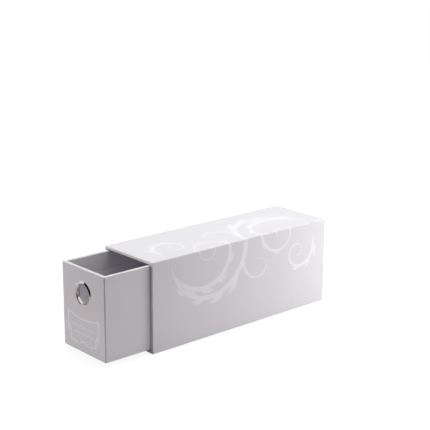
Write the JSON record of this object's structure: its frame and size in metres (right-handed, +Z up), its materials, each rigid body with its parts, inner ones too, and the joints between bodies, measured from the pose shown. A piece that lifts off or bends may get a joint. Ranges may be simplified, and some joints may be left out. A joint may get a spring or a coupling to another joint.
{
  "type": "card box with drawer",
  "caption": "Rigid paper-covered card box: a long open-fronted sleeve with a sliding drawer that is pulled by a round metal finger ring.",
  "frame": {"origin": "centre of the sleeve's underside, on the surface that the box stands on", "axes": "+Z up, +Y along the sleeve towards its closed back, +X to the right of someone who faces the drawer's front; the drawer pulls out along -Y"},
  "size_m": [0.085, 0.3324, 0.105],
  "materials": {
    "white_cover_paper": "satin",
    "grey_lining_paper": "matte",
    "greyboard": "matte",
    "kraft_stay_paper": "matte",
    "nickel_plate": "polished"
  },
  "bodies": {
    "sleeve": {"sleeve_top_board": "greyboard", "sleeve_floor_board": "greyboard", "sleeve_left_board": "greyboard", "sleeve_right_board": "greyboard", "sleeve_back_board": "greyboard", "sleeve_floor_ply": "greyboard", "sleeve_wrap": "white_cover_paper", "sleeve_back_sheet": "white_cover_paper", "sleeve_lining": "grey_lining_paper", "sleeve_back_lining": "grey_lining_paper", "sleeve_corner_stay_bottom_left": "kraft_stay_paper", "sleeve_corner_stay_bottom_right": "kraft_stay_paper", "sleeve_corner_stay_top_left": "kraft_stay_paper", "sleeve_corner_stay_top_right": "kraft_stay_paper"},
    "drawer": {"drawer_front_board": "greyboard", "drawer_back_board": "greyboard", "drawer_left_board": "greyboard", "drawer_right_board": "greyboard", "drawer_floor_board": "greyboard", "drawer_wrap": "white_cover_paper", "drawer_base_sheet": "white_cover_paper", "drawer_wall_lining": "grey_lining_paper", "drawer_floor_lining": "grey_lining_paper", "drawer_corner_stay_front_left": "kraft_stay_paper", "drawer_corner_stay_front_right": "kraft_stay_paper", "drawer_corner_stay_back_left": "kraft_stay_paper", "drawer_corner_stay_back_right": "kraft_stay_paper", "finger_ring_eyelet": "nickel_plate"}
  },
  "joints": [
    {"name": "drawer_slide", "type": "slide", "parent": "sleeve", "child": "drawer", "axis": [0, -1, 0], "range_m": [-0.0605, 0.2015]}
  ]
}
